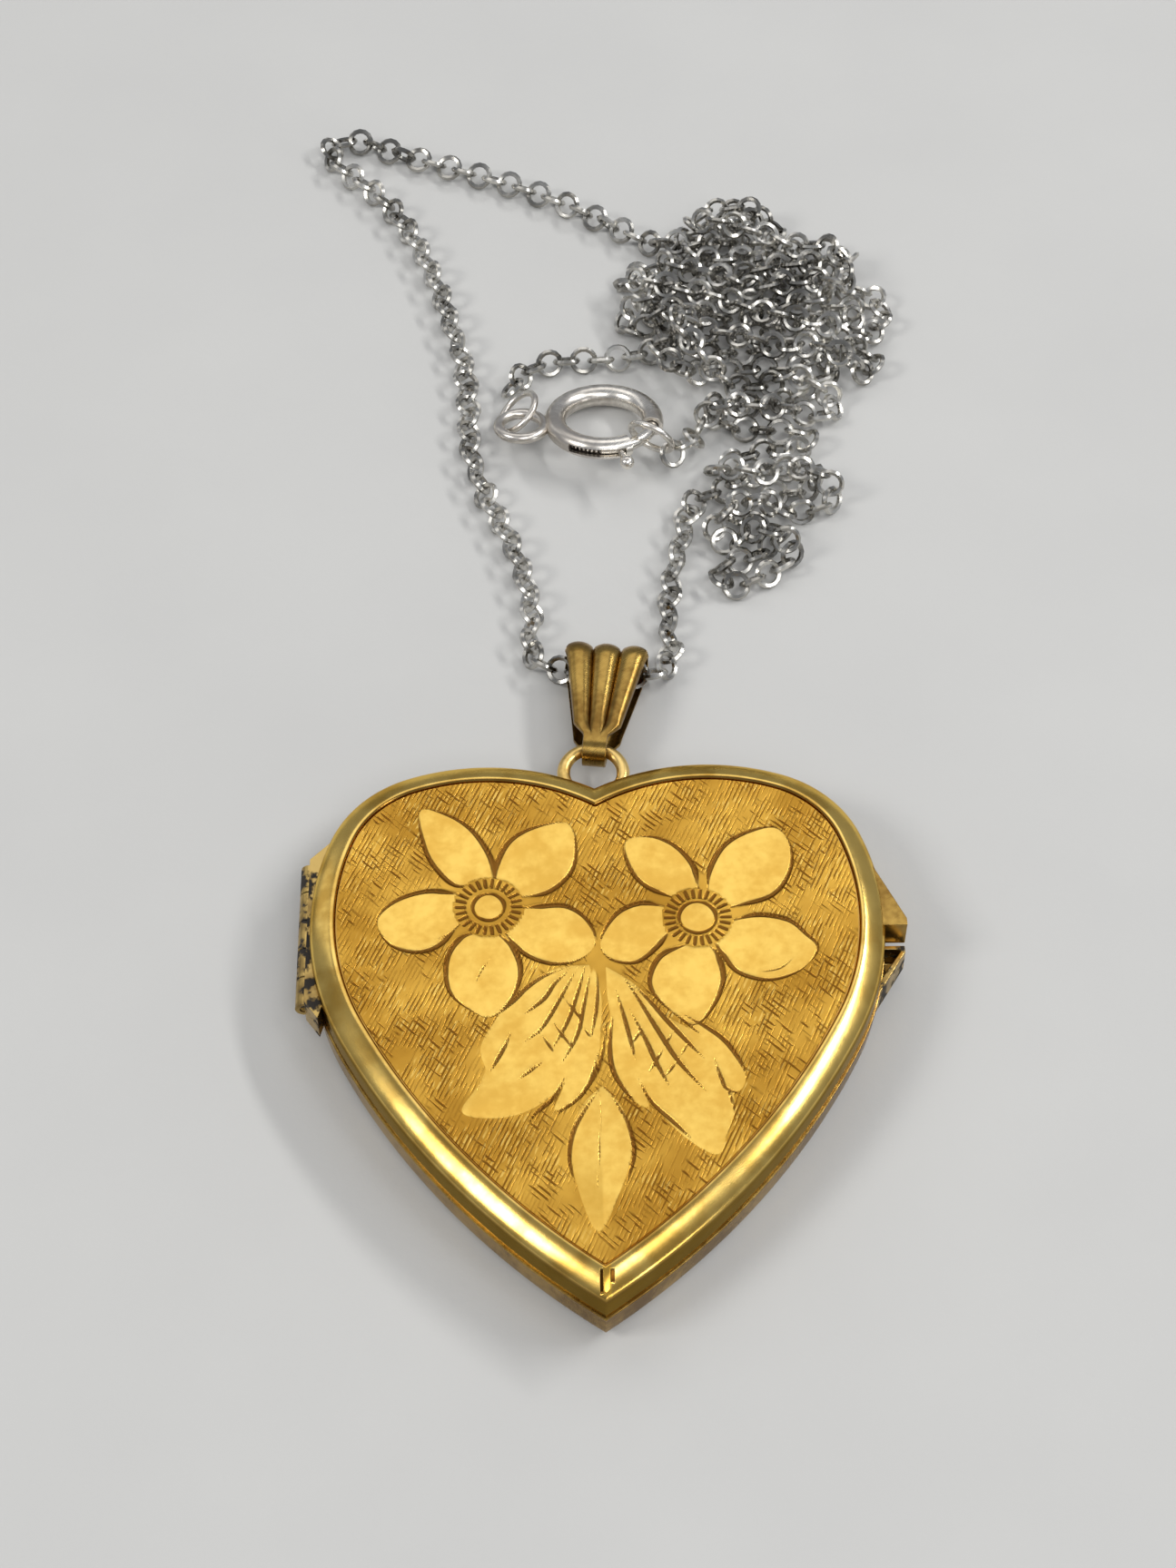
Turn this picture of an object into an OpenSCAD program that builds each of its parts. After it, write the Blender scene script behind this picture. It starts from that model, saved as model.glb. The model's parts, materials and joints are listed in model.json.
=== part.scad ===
// Engraved heart locket, lying on its back on a table, on a fine trace chain.
// The heart's middle is the origin, +Z comes out of the front cover, +Y points to
// the bail and the catch is on the +X side.  All lengths are in millimetres.

/* [Locket] */
// Thickness of the closed locket
locket_t = 4.0; // [3.8:0.1:4.6]
// Thickness of the sheet gold of the two shells
sheet_t = 0.35; // [0.3:0.01:0.38]
// Width of the rounded border around each face
border_w = 1.25; // [1.1:0.05:1.4]
// Height of the rounded border above the straight wall
border_h = 0.7; // [0.6:0.05:0.8]

/* [Heart outline] */
// Radius of the arc over the top of each lobe
lobe_r = 10.5; // [10:0.1:11]
// Distance of the lobe's highest point from the middle line
lobe_x = 5.0; // [4.8:0.1:5.2]
// Height of the lobe's highest point
lobe_top = 13.55; // [13.4:0.05:13.8]
// Radius of the tight arc at the shoulder
shoulder_r = 5.6; // [5.4:0.1:6]
// Radius of the arc down the side
side_r = 13; // [12.5:0.1:13.5]
// Radius of the long arc down to the tip
flank_r = 35; // [34:0.5:36]

/* [Hinge and catch] */
// Length of one hinge knuckle
knuckle_l = 1.5; // [1.3:0.05:1.6]
// Radius of the knuckles
knuckle_r = 0.42; // [0.38:0.01:0.44]
// Radius of the hinge pin
pin_r = 0.18; // [0.15:0.01:0.2]
// How far the thumb nibs stand out past the heart's side
nib_reach = 0.95; // [0.7:0.05:1.1]

/* [Bail] */
// Length of the bail from the lug's bar to the middle of its top fold
bail_l = 5.15; // [4.8:0.05:5.6]
// Width of the bail at the top
bail_top_w = 4.1; // [3.8:0.1:4.3]
// Width of the bail just above the curl
bail_low_w = 2.4; // [2.2:0.1:2.6]
// Sideways lean of the bail as it lies
bail_lean = 6.9; // [0:0.1:9]

/* [Clasp] */
// Outer diameter of the bolt ring
clasp_od = 6.1; // [5.9:0.1:6.4]
// Diameter of the tube that the bolt ring is bent from
clasp_tube_d = 1.1; // [1.05:0.05:1.2]

/* [Chain] */
// Outside diameter of the chain, over its links
chain_d = 1.5; // [1.3:0.1:1.6]

/* [Hidden] */
$fn = 48;

gold = "#c89b3c";
silver = "#b9bbc0";

mid_z = locket_t / 2;               // the two shells meet here
mid_gap = 0.02;                     // each shell stops this far from the middle
wall_top = locket_t - border_h;     // where the front wall turns into the border
panel_top = locket_t - 0.1;         // the engraved panel lies just under the border
panel_t = 0.3;
fit_gap = 0.05;                     // running clearance of the snap rim and the hinge

// ---- Heart outline -------------------------------------------------------------
// Each half is a chain of four arcs that meet tangentially, so one profile revolved
// about each centre gives walls, borders and frames at a constant inset.
shoulder_a = 70;
side_a = 20;
flank_a = -27.5;

function unit(a) = [cos(a), sin(a)];
lobe_c = [lobe_x, lobe_top - lobe_r];
shoulder_c = lobe_c + (lobe_r - shoulder_r) * unit(shoulder_a);
side_c = shoulder_c + (shoulder_r - side_r) * unit(side_a);
flank_c = side_c + (side_r - flank_r) * unit(flank_a);

// Angles at which the first and the last arc, inset by d, cross the middle line
function cleft_a(d) = acos(-lobe_c[0] / (lobe_r - d));
function tip_a(d) = -acos(-flank_c[0] / (flank_r - d));

// centre, radius, higher angle, lower angle; the outer two run past the middle line
ARCS = [
    [lobe_c, lobe_r, cleft_a(0) + 12, shoulder_a],
    [shoulder_c, shoulder_r, shoulder_a, side_a],
    [side_c, side_r, side_a, flank_a],
    [flank_c, flank_r, flank_a, tip_a(0) - 5]
];

// Points down the right half at inset d, from the cleft to the tip
function arc_points(c, r, a0, a1, n) = [for (i = [0:n - 1]) c + r * unit(a0 + (a1 - a0) * i / n)];
function half_points(d) = concat(
    arc_points(lobe_c, lobe_r - d, cleft_a(d), shoulder_a, 9),
    arc_points(shoulder_c, shoulder_r - d, shoulder_a, side_a, 8),
    arc_points(side_c, side_r - d, side_a, flank_a, 8),
    arc_points(flank_c, flank_r - d, flank_a, tip_a(d), 8),
    [[0, flank_c[1] + (flank_r - d) * sin(tip_a(d))]]);
function heart_points(d) = let (half = half_points(d), n = len(half))
    concat(half, [for (i = [n - 2:-1:1]) [-half[i][0], half[i][1]]]);

// A heart-shaped plate at inset d between two heights
module heart_plate(d, z0, z1) {
    translate([0, 0, z0]) linear_extrude(z1 - z0) polygon(heart_points(d));
}

// Carries a profile drawn as (inset, height) around one half, then around both
module heart_half_sweep() {
    intersection() {
        union() {
            for (arc = ARCS)
                translate([arc[0][0], arc[0][1], 0]) rotate([0, 0, arc[3]])
                    rotate_extrude(angle = arc[2] - arc[3], $fn = 96)
                        translate([arc[1], 0]) mirror([1, 0]) children();
        }
        translate([0, -20, -1]) cube([20, 40, 8]);
    }
}
module heart_sweep() {
    heart_half_sweep() children();
    mirror([1, 0, 0]) heart_half_sweep() children();
}

// Heart-shaped ring between two insets, which lies inside a sweep and ties its arcs together
module heart_ring(d0, d1, z0, z1) {
    difference() {
        heart_plate(d0, z0, z1);
        heart_plate(d1, z0 - 1, z1 + 1);
    }
}

// Section of the cover: straight wall, rounded border, a fine groove, and a ledge under the panel
module shell_profile() {
    b = border_w;
    ledge_z = panel_top - 0.08;
    under_z = panel_top - panel_t - 0.05;
    polygon([
        [0, mid_z + mid_gap], [0, wall_top], [0.06 * b, wall_top + 0.3 * border_h],
        [0.24 * b, wall_top + 0.66 * border_h], [0.5 * b, wall_top + 0.9 * border_h],
        [0.76 * b, locket_t], [0.88 * b, locket_t - 0.03], [0.94 * b, ledge_z],
        [b + 0.3, ledge_z], [b + 0.3, under_z], [0.8 * b, under_z],
        [sheet_t + 0.1, wall_top + 0.1], [sheet_t, wall_top - 0.15], [sheet_t, mid_z + mid_gap]]);
}

// The back shell has the same border, around a plain flat plate that stands 0.03 proud
module back_profile() {
    b = border_w;
    ledge_z = 0.03;
    polygon([
        [0, mid_z - mid_gap], [0, border_h], [0.06 * b, 0.7 * border_h],
        [0.24 * b, 0.36 * border_h], [0.5 * b, 0.14 * border_h], [0.76 * b, ledge_z],
        [b + 0.3, ledge_z], [b + 0.3, panel_t + 0.05], [0.8 * b, panel_t + 0.05],
        [sheet_t + 0.1, border_h - 0.1], [sheet_t, border_h + 0.15],
        [sheet_t, mid_z - mid_gap]]);
}

// ---- Hinge ---------------------------------------------------------------------
side_x = side_c[0] + side_r;        // widest point of the heart
hinge_x = -side_x - 0.18;
hinge_y = 5.2;
knuckle_gap = 0.04;
hinge_y0 = hinge_y - 2.5 * knuckle_l;

// One knuckle, number i from the tip end, with its bore for the pin
module knuckle(i) {
    translate([hinge_x, hinge_y0 + (i + 1) * knuckle_l - knuckle_gap / 2, mid_z]) rotate([90, 0, 0])
        difference() {
            cylinder(h = knuckle_l - knuckle_gap, r = knuckle_r);
            translate([0, 0, -1]) cylinder(h = knuckle_l + 2, r = pin_r + 0.03);
        }
}

// Bearer strip on the upper side of the knuckles; own lists the knuckles it carries
module hinge_plate(own) {
    difference() {
        translate([0, 0, mid_z + mid_gap]) linear_extrude(0.78)
            polygon([
                [hinge_x + 0.02, hinge_y0], [hinge_x + 0.02, hinge_y0 + 5 * knuckle_l],
                [hinge_x + 1.1, hinge_y0 + 5 * knuckle_l + 1.1], [hinge_x + 1.9, hinge_y],
                [hinge_x + 0.65, hinge_y0 - 0.9]]);
        heart_plate(0, mid_z - 1, locket_t);
        for (i = [0:4])
            translate([hinge_x, hinge_y0 + (i + 1) * knuckle_l, mid_z]) rotate([90, 0, 0])
                cylinder(h = knuckle_l, r = len(search(i, own)) > 0 ? knuckle_r : knuckle_r + fit_gap);
    }
}

// Turns a front piece into the matching piece of the back shell
module to_back() {
    translate([0, 0, locket_t]) mirror([0, 0, 1]) children();
}

// Groove in a shell's wall for the turning knuckles
module hinge_groove() {
    translate([hinge_x, hinge_y0 + 5 * knuckle_l + 0.05, mid_z]) rotate([90, 0, 0])
        cylinder(h = 5 * knuckle_l + 0.1, r = knuckle_r + fit_gap);
}

// ---- Back half -----------------------------------------------------------------
module back_shell() {
    color(gold) difference() {
        union() {
            heart_sweep() back_profile();
            heart_plate(0.85 * border_w, 0, panel_t);
        }
        hinge_groove();
    }
}

// Raised lip that the cover snaps over
module back_snap_rim() {
    lip = sheet_t + fit_gap;
    color(gold) {
        heart_sweep() polygon([
            [sheet_t, 1.2], [sheet_t, mid_z - 0.1], [lip, mid_z - 0.1], [lip, mid_z + 0.56],
            [lip + 0.06, mid_z + 0.62], [lip + 0.2, mid_z + 0.62], [lip + 0.22, mid_z + 0.58],
            [lip + 0.22, 1.2]]);
        heart_ring(lip + 0.04, lip + 0.18, 1.3, mid_z + 0.5);
    }
}

photo_inset = 0.95;

module back_photo() {
    color("ivory") heart_plate(photo_inset, 1.1, 1.22);
}

module back_window() {
    color("whitesmoke") heart_plate(photo_inset, 1.22, 1.5);
}

// Heart-shaped bezel that holds the window and the photo in the shell
module back_photo_frame() {
    o = sheet_t + fit_gap + 0.22;
    color(gold) {
        heart_sweep() polygon([
            [o, 1.1], [o, 1.7], [o + 0.05, 1.75], [1.7, 1.75], [1.8, 1.65], [1.8, 1.5],
            [photo_inset, 1.5], [photo_inset, 1.1]]);
        heart_ring(o + 0.1, 1.6, 1.56, 1.7);
    }
}

module back_hinge_plate() {
    color(gold) to_back() hinge_plate([0, 2, 4]);
}

module back_knuckle_1() { color(gold) knuckle(0); }
module back_knuckle_2() { color(gold) knuckle(2); }
module back_knuckle_3() { color(gold) knuckle(4); }

module hinge_pin() {
    color(gold) translate([hinge_x, hinge_y0 + 5 * knuckle_l - 0.03, mid_z]) rotate([90, 0, 0])
        cylinder(h = 5 * knuckle_l - 0.06, r = pin_r);
}

// ---- Suspension lug ------------------------------------------------------------
lug_y = 14.5;
lug_r = 1.36;
lug_wire_r = 0.28;
lug_z = 1.55;

// Round ring on a short foot in the cleft of the back shell
module suspension_lug() {
    color(gold) {
        translate([0, lug_y, lug_z]) rotate_extrude() translate([lug_r, 0]) circle(lug_wire_r);
        difference() {
            translate([-0.8, 11.9, lug_z - 0.25]) cube([1.6, 1.3, 0.5]);
            heart_plate(0, 0, mid_z);
        }
    }
}

// ---- Catch: two hollow thumb nibs that meet at the middle ---------------------------
nib_cut_y = 4.5;

module front_thumb_nib() {
    tip_x = side_x + nib_reach;
    color(gold) difference() {
        translate([0, 0, mid_z + mid_gap]) linear_extrude(1.5)
            polygon([[side_x - 1.2, nib_cut_y], [tip_x, nib_cut_y], [tip_x, nib_cut_y + 0.35],
                [side_x - 0.55, nib_cut_y + 3.6], [side_x - 1.2, nib_cut_y + 3.2]]);
        translate([0, 0, mid_z - 1]) linear_extrude(2.25)
            polygon([[side_x - 1, nib_cut_y + 0.2], [tip_x - 0.22, nib_cut_y + 0.2],
                [tip_x - 0.22, nib_cut_y + 0.3], [side_x - 0.6, nib_cut_y + 2.9]]);
        heart_plate(0, mid_z - 1, wall_top);
        heart_plate(0.3, mid_z - 1, locket_t - 0.25);
        heart_plate(0.75, mid_z - 1, locket_t + 1);
    }
}

module back_thumb_nib() {
    tip_x = side_x + nib_reach;
    color(gold) difference() {
        translate([0, 0, 0.55]) linear_extrude(mid_z - mid_gap - 0.55)
            polygon([[side_x - 0.8, nib_cut_y - 0.1], [tip_x, nib_cut_y - 0.1],
                [tip_x, nib_cut_y - 0.45], [side_x - 0.55, nib_cut_y - 2.9],
                [side_x - 1, nib_cut_y - 2.5]]);
        translate([0, 0, 0.8]) linear_extrude(3)
            polygon([[side_x - 0.6, nib_cut_y - 0.3], [tip_x - 0.22, nib_cut_y - 0.3],
                [tip_x - 0.22, nib_cut_y - 0.4], [side_x - 0.6, nib_cut_y - 2.4]]);
        heart_plate(0, -1, mid_z + 1);
    }
}

// ---- Front half, the hinged cover ----------------------------------------------------
module front_shell() {
    color(gold) difference() {
        union() {
            heart_sweep() shell_profile();
            heart_plate(border_w, panel_top - panel_t, panel_top);
        }
        hinge_groove();
    }
}

module front_photo() {
    color("ivory") heart_plate(photo_inset, 3.23, 3.35);
}

module front_window() {
    color("whitesmoke") heart_plate(photo_inset, 2.95, 3.23);
}

module front_photo_frame() {
    color(gold) {
        heart_sweep() polygon([
            [sheet_t, 3.1], [sheet_t, 2.8], [sheet_t + 0.1, 2.7], [1.7, 2.7], [1.8, 2.8],
            [1.8, 2.95], [photo_inset, 2.95], [photo_inset, 3.35], [0.75, 3.35]]);
        heart_ring(0.6, 1.6, 2.76, 2.9);
    }
}

module front_hinge_plate() {
    color(gold) hinge_plate([1, 3]);
}

module front_knuckle_1() { color(gold) knuckle(1); }
module front_knuckle_2() { color(gold) knuckle(3); }

// ---- Bail --------------------------------------------------------------------------
bail_x = 0.1;
bail_y = lug_y + lug_r;
bail_sheet = 0.25;
bail_top_r = 1.2;                   // outer radius of the top fold
curl_r = 0.8;                       // outer radius of the curl around the lug
curl_w = 1.15;
bail_drop = asin((lug_z - bail_top_r - 0.02) / bail_l);

// Loop around two circles with common tangents: radius r0 at the origin, r1 at distance l
module tangent_loop(r0, r1, l) {
    a = acos((r0 - r1) / l);
    circle(r0);
    translate([l, 0]) circle(r1);
    polygon([r0 * unit(a), r0 * unit(-a), [l, 0] + r1 * unit(-a), [l, 0] + r1 * unit(a)]);
}

// Folded, fluted strip, drawn along +X with its curl at the origin, then laid in place
module bail() {
    color(gold) translate([bail_x, bail_y, lug_z]) rotate([0, 0, 90 - bail_lean])
        rotate([0, bail_drop, 0]) difference() {
            intersection() {
                rotate([90, 0, 0]) translate([0, 0, -bail_top_w]) linear_extrude(2 * bail_top_w)
                    difference() {
                        tangent_loop(curl_r, bail_top_r, bail_l);
                        tangent_loop(curl_r - bail_sheet, bail_top_r - bail_sheet, bail_l);
                    }
                translate([0, 0, -3]) linear_extrude(6)
                    polygon([[-1, -curl_w / 2], [-1, curl_w / 2], [0.35, curl_w / 2],
                        [0.95, bail_low_w / 2], [bail_l + 0.6, bail_top_w / 2],
                        [bail_l + 1.3, bail_top_w / 2 - 0.2],
                        [bail_l + 1.3, -bail_top_w / 2 + 0.2], [bail_l + 0.6, -bail_top_w / 2],
                        [0.95, -bail_low_w / 2], [0.35, -curl_w / 2]]);
            }
            // valleys between the three flutes
            for (side = [-1, 1], face = [-1, 1])
                translate([1.2, side * 0.45, face * (curl_r + 0.23)])
                    rotate([0, 90 - face * 4.5, side * 3.3]) cylinder(h = bail_l, r = 0.2);
        }
}

// ---- Chain --------------------------------------------------------------------------
// Each run is a tube along its own points, laid by hand on the table
chain_r = chain_d / 2;
left_route = [[3.2, 50.8, 0.9], [1, 52.6, 0.8], [-2.5, 54.8, 0.8], [-6.5, 56.6, 0.8],
    [-10, 58, 0.8], [-12, 59, 0.8], [-13.2, 59, 0.8], [-13.8, 58.2, 0.8], [-13.2, 57, 0.8],
    [-12, 55.8, 0.8], [-10.4, 53.8, 0.8], [-9, 51.2, 0.8], [-7.8, 48, 0.8], [-7, 45, 0.8],
    [-6.3, 42, 0.8], [-6, 39, 0.8], [-5.9, 36, 0.8], [-5.2, 33, 0.8], [-4, 30, 0.8],
    [-3.2, 27.4, 0.8], [-2.8, 25, 0.8], [-2.9, 22.6, 0.85]];
bail_route = [[-2.9, 22.6, 0.85], [-2.4, 21.7, 0.95], [-1.3, 21.1, 1.12], [0.7, 20.9, 1.22],
    [2.4, 20.7, 1.18], [3.5, 21.1, 1.1], [3.9, 22.2, 1], [3.8, 23.6, 0.9]];
right_route = [[3.8, 23.6, 0.9], [3.9, 25.4, 0.8], [4.2, 27.6, 0.8], [4.7, 29.6, 0.8],
    [6, 31, 0.9]];
tail_route = [[-3.9, 39.6, 0.9], [-3.2, 40.9, 0.9], [-2, 41.7, 0.9], [-0.4, 41.9, 0.9],
    [1.4, 42, 0.9], [3.2, 42.4, 0.9], [5, 43, 1]];

function direction(v) = v / norm(v);
function heading(route, i) = let (n = len(route) - 1)
    direction(route[min(i + 1, n)] - route[max(i - 1, 0)]);

// Tube with eight sides, one ring at each point of the route
module tube(route) {
    n = len(route);
    sides = 8;
    rings = [for (i = [0:n - 1])
        let (h = heading(route, i), s = direction(cross([0, 0, 1], h)), u = cross(h, s))
        for (k = [0:sides - 1])
            route[i] + chain_r * (cos(360 * (k + 0.5) / sides) * s + sin(360 * (k + 0.5) / sides) * u)];
    walls = [for (i = [0:n - 2], k = [0:sides - 1])
        let (a = i * sides + k, b = i * sides + (k + 1) % sides) [a, b, b + sides, a + sides]];
    start = [[for (k = [sides - 1:-1:0]) k]];
    end = [[for (k = [0:sides - 1]) (n - 1) * sides + k]];
    polyhedron(rings, [for (f = concat(walls, start, end)) [for (k = [len(f) - 1:-1:0]) f[k]]]);
}

module chain_left() { color(silver) tube(left_route); }
module chain_in_bail() { color(silver) tube(bail_route); }
module chain_right() { color(silver) tube(right_route); }
module chain_tail() { color(silver) tube(tail_route); }

// The heaped part of the chain: two layers of a closed mound
module chain_heap() {
    color(silver) {
        translate([0, 0, 0.05]) linear_extrude(1.7)
            polygon([[4.2, 30], [6.4, 26.4], [8.8, 26.2], [9.4, 28.6], [12.4, 30], [13.2, 32],
                [11.2, 34.4], [12, 37.6], [14.4, 38.4], [15.6, 41], [16.4, 44], [15.6, 47],
                [13, 48.8], [11, 49.6], [10.2, 52.4], [8.8, 53.4], [7.6, 52], [6.8, 50.2],
                [3.4, 50], [1.8, 46.8], [0.9, 44.6], [3.4, 42], [5.2, 41], [5.3, 34]]);
        translate([0, 0, 1.75]) linear_extrude(1.3)
            polygon([[6.2, 31], [8, 29.4], [10, 31], [10, 35], [10.6, 38.8], [14, 41],
                [14.4, 44.4], [12, 47.4], [7, 48.4], [4, 47.6], [3.4, 45], [6.4, 41.6],
                [6.6, 36]]);
    }
}

// ---- Clasp: a bolt ring, closed on the ring at the chain's end -----------------------
clasp_c = [0.95, 37, 1.32];
clasp_tilt = -14;
clasp_tube_r = clasp_tube_d / 2;
clasp_r = clasp_od / 2 - clasp_tube_r;
bore_r = clasp_tube_r - 0.2;
bolt_r = bore_r - 0.04;
gate_a0 = -62;                      // the gate that the bolt closes
gate_a1 = -12;
lever_a = -74;
bolt_travel = 48;

module in_clasp_plane() {
    translate(clasp_c) rotate([clasp_tilt, 0, 0]) children();
}

// Part of a bent rod or tube, between two angles of the ring
module bend(a0, a1) {
    rotate([0, 0, a0]) rotate_extrude(angle = a1 - a0) translate([clasp_r, 0]) children();
}

module clasp_tube() {
    slot_w = 0.42;
    color(silver) in_clasp_plane() difference() {
        bend(gate_a1, 360 + gate_a0) difference() {
            circle(clasp_tube_r);
            circle(bore_r);
        }
        // slot in the outside of the tube, along which the lever is pushed
        rotate([0, 0, lever_a - bolt_travel - 5])
            rotate_extrude(angle = bolt_travel + 10)
                translate([clasp_r, -slot_w / 2]) square([1, slot_w]);
    }
}

module clasp_bolt() {
    color(silver) in_clasp_plane() {
        bend(lever_a - 20, gate_a1 + 5) circle(bolt_r);
        rotate([0, 0, lever_a]) {
            translate([clasp_r, 0, 0]) rotate([0, 90, 0]) cylinder(h = 1.4, r = 0.17);
            translate([clasp_r + 1.45, 0, 0]) sphere(0.36);
        }
    }
}

module clasp_spring() {
    color(silver) in_clasp_plane() bend(lever_a - 140, lever_a - 20.5) difference() {
        circle(bolt_r);
        circle(bolt_r - 0.12);
    }
}

// A closed round ring of wire
module wire_ring(r, wire_r) {
    rotate_extrude() translate([r, 0]) circle(wire_r);
}

eye_r = 1.15;
eye_wire_r = 0.28;
eye_c = [-clasp_r - 1.7, -0.35, 0];

module clasp_eye() {
    color(silver) in_clasp_plane() difference() {
        translate(eye_c) wire_ring(eye_r, eye_wire_r);
        bend(90, 270) circle(clasp_tube_r);
    }
}

module clasp_jump_ring() {
    color(silver) in_clasp_plane() translate(eye_c + [-0.2, 1.2, 0.05]) rotate([0, -42, 8])
        wire_ring(1.2, 0.17);
}

module end_ring() {
    color(silver) in_clasp_plane() rotate([0, 0, -32]) translate([clasp_r + 0.32, 0, 0])
        rotate([-62, 0, 0]) wire_ring(1.15, 0.17);
}

back_shell();
back_snap_rim();
back_photo();
back_window();
back_photo_frame();
back_hinge_plate();
back_knuckle_1();
back_knuckle_2();
back_knuckle_3();
hinge_pin();
back_thumb_nib();
suspension_lug();
front_shell();
front_photo();
front_window();
front_photo_frame();
front_hinge_plate();
front_knuckle_1();
front_knuckle_2();
front_thumb_nib();
bail();
chain_left();
chain_in_bail();
chain_right();
chain_heap();
chain_tail();
clasp_tube();
clasp_bolt();
clasp_spring();
clasp_eye();
clasp_jump_ring();
end_ring();
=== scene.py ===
import json
from math import acos, cos, pi, radians, sin

import bmesh
import bpy
import numpy as np
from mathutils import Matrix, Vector

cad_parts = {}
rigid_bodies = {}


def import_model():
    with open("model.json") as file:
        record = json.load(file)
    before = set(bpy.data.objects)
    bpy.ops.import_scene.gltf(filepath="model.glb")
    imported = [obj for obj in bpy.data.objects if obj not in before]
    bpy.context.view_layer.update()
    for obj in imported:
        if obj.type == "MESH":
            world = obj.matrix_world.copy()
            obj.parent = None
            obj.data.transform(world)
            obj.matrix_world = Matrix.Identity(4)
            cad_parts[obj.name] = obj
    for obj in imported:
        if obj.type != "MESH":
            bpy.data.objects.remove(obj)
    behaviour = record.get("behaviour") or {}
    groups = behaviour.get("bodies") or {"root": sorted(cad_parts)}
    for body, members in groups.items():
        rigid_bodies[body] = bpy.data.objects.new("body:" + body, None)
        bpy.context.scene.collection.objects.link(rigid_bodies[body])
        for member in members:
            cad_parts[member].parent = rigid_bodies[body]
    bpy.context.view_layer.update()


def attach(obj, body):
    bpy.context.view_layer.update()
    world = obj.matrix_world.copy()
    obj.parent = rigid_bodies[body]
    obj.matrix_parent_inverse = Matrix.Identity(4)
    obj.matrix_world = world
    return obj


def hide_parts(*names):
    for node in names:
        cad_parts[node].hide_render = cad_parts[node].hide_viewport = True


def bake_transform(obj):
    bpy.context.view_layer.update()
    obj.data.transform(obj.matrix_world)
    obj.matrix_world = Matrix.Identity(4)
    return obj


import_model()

# ---- The table, the light and the place one looks from -------------------------------
# The locket lies on a plain pale table, close under the eye.  A broad window behind it
# lights the flat cover, smaller lamps at both sides draw the rim, and a soft ceiling in
# front fills the walls that face the eye.
eye = bpy.data.objects.new("eye", bpy.data.cameras.new("eye"))
bpy.context.collection.objects.link(eye)
eye.location = (-0.0017, -0.0685, 0.1137)
eye.rotation_euler = (radians(90 - 53.7), 0, radians(-1))
eye.data.lens = 68.8
eye.data.sensor_width = 36
eye.data.clip_start = 0.001
bpy.context.scene.camera = eye


class Tone:
    """A value or colour worked out over a surface; sums and products add Math nodes."""

    def __init__(self, tree, socket=None):
        self.tree, self.socket = tree, socket

    def node(self, kind, settings=None, sockets=None, out=0):
        """Adds a node: its settings first, a ramp's stops among them, then its sockets."""
        made = self.tree.nodes.new(kind)
        for key, value in (settings or {}).items():
            if key == "stops":
                made.color_ramp.elements[1].position = 1.0
                for place, shade in value[1:-1]:
                    made.color_ramp.elements.new(place)
                for stop, (place, shade) in zip(made.color_ramp.elements, value):
                    stop.position, stop.color = place, (*shade, 1)
            else:
                setattr(made, key, value)
        for key, value in (sockets or {}).items():
            if isinstance(value, Tone):
                self.tree.links.new(value.socket, made.inputs[key])
            else:
                made.inputs[key].default_value = value
        return Tone(self.tree, made.outputs[out])

    def maths(self, operation, *values):
        """A Math node on the values given, in their order."""
        return self.node("ShaderNodeMath", {"operation": operation}, dict(enumerate(values)))

    def __add__(self, other):
        return self.maths("ADD", self, other)

    def __mul__(self, other):
        return self.maths("MULTIPLY", self, other)

    def __sub__(self, other):
        return self.maths("SUBTRACT", self, other)

    def __rsub__(self, other):
        return self.maths("SUBTRACT", other, self)

    __radd__, __rmul__ = __add__, __mul__

    def between(self, low, high):
        """0 below low, 1 above high and a smooth rise from one to the other."""
        return self.node("ShaderNodeMapRange", {"interpolation_type": "SMOOTHSTEP"},
                         {"Value": self, "From Min": low, "From Max": high})

    def clouds(self, size, detail=3.0, stretch=(1, 1, 1), turn=0.0):
        """Noise with patches of that size in metres, stretched along the axes given."""
        place = self.node("ShaderNodeMapping", {"vector_type": "TEXTURE"},
                          {"Vector": self, "Rotation": (0, 0, turn),
                           "Scale": tuple(size * s for s in stretch)})
        return self.node("ShaderNodeTexNoise", {},
                         {"Vector": place, "Scale": 1.0, "Detail": detail})

    def blended(self, low, high):
        """The colour low where this value is 0 and high where it is 1."""
        return self.node("ShaderNodeMix", {"data_type": "RGBA"},
                         {0: self, 6: low if isinstance(low, Tone) else (*low, 1),
                          7: high if isinstance(high, Tone) else (*high, 1)}, 2)

    def dents(self, depth, strength=1.0):
        """A bumped normal: this value times depth, in metres, is the surface's height."""
        return self.node("ShaderNodeBump", {},
                         {"Height": self, "Distance": depth, "Strength": strength})


def new_finish(name):
    """An empty material: the Tone of its Object coordinates and a call that fills the shader."""
    made = bpy.data.materials.new(name)
    made.use_nodes = True
    shader = made.node_tree.nodes["Principled BSDF"]
    place = Tone(made.node_tree).node("ShaderNodeTexCoord", out=3)

    def fill(**sockets):
        for key, value in sockets.items():
            socket = shader.inputs[key.replace("_", " ")]
            if isinstance(value, Tone):
                made.node_tree.links.new(value.socket, socket)
            else:
                socket.default_value = (*value, 1) if isinstance(value, tuple) else value
        return made

    return place, fill


place, fill = new_finish("table_top")
mottle = place.clouds(0.012, 5)
table_finish = fill(Base_Color=mottle.blended((0.50, 0.495, 0.48), (0.55, 0.545, 0.525)),
                    Roughness=0.85, Normal=place.clouds(0.0006, 2).dents(0.00003, 0.4))

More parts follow.
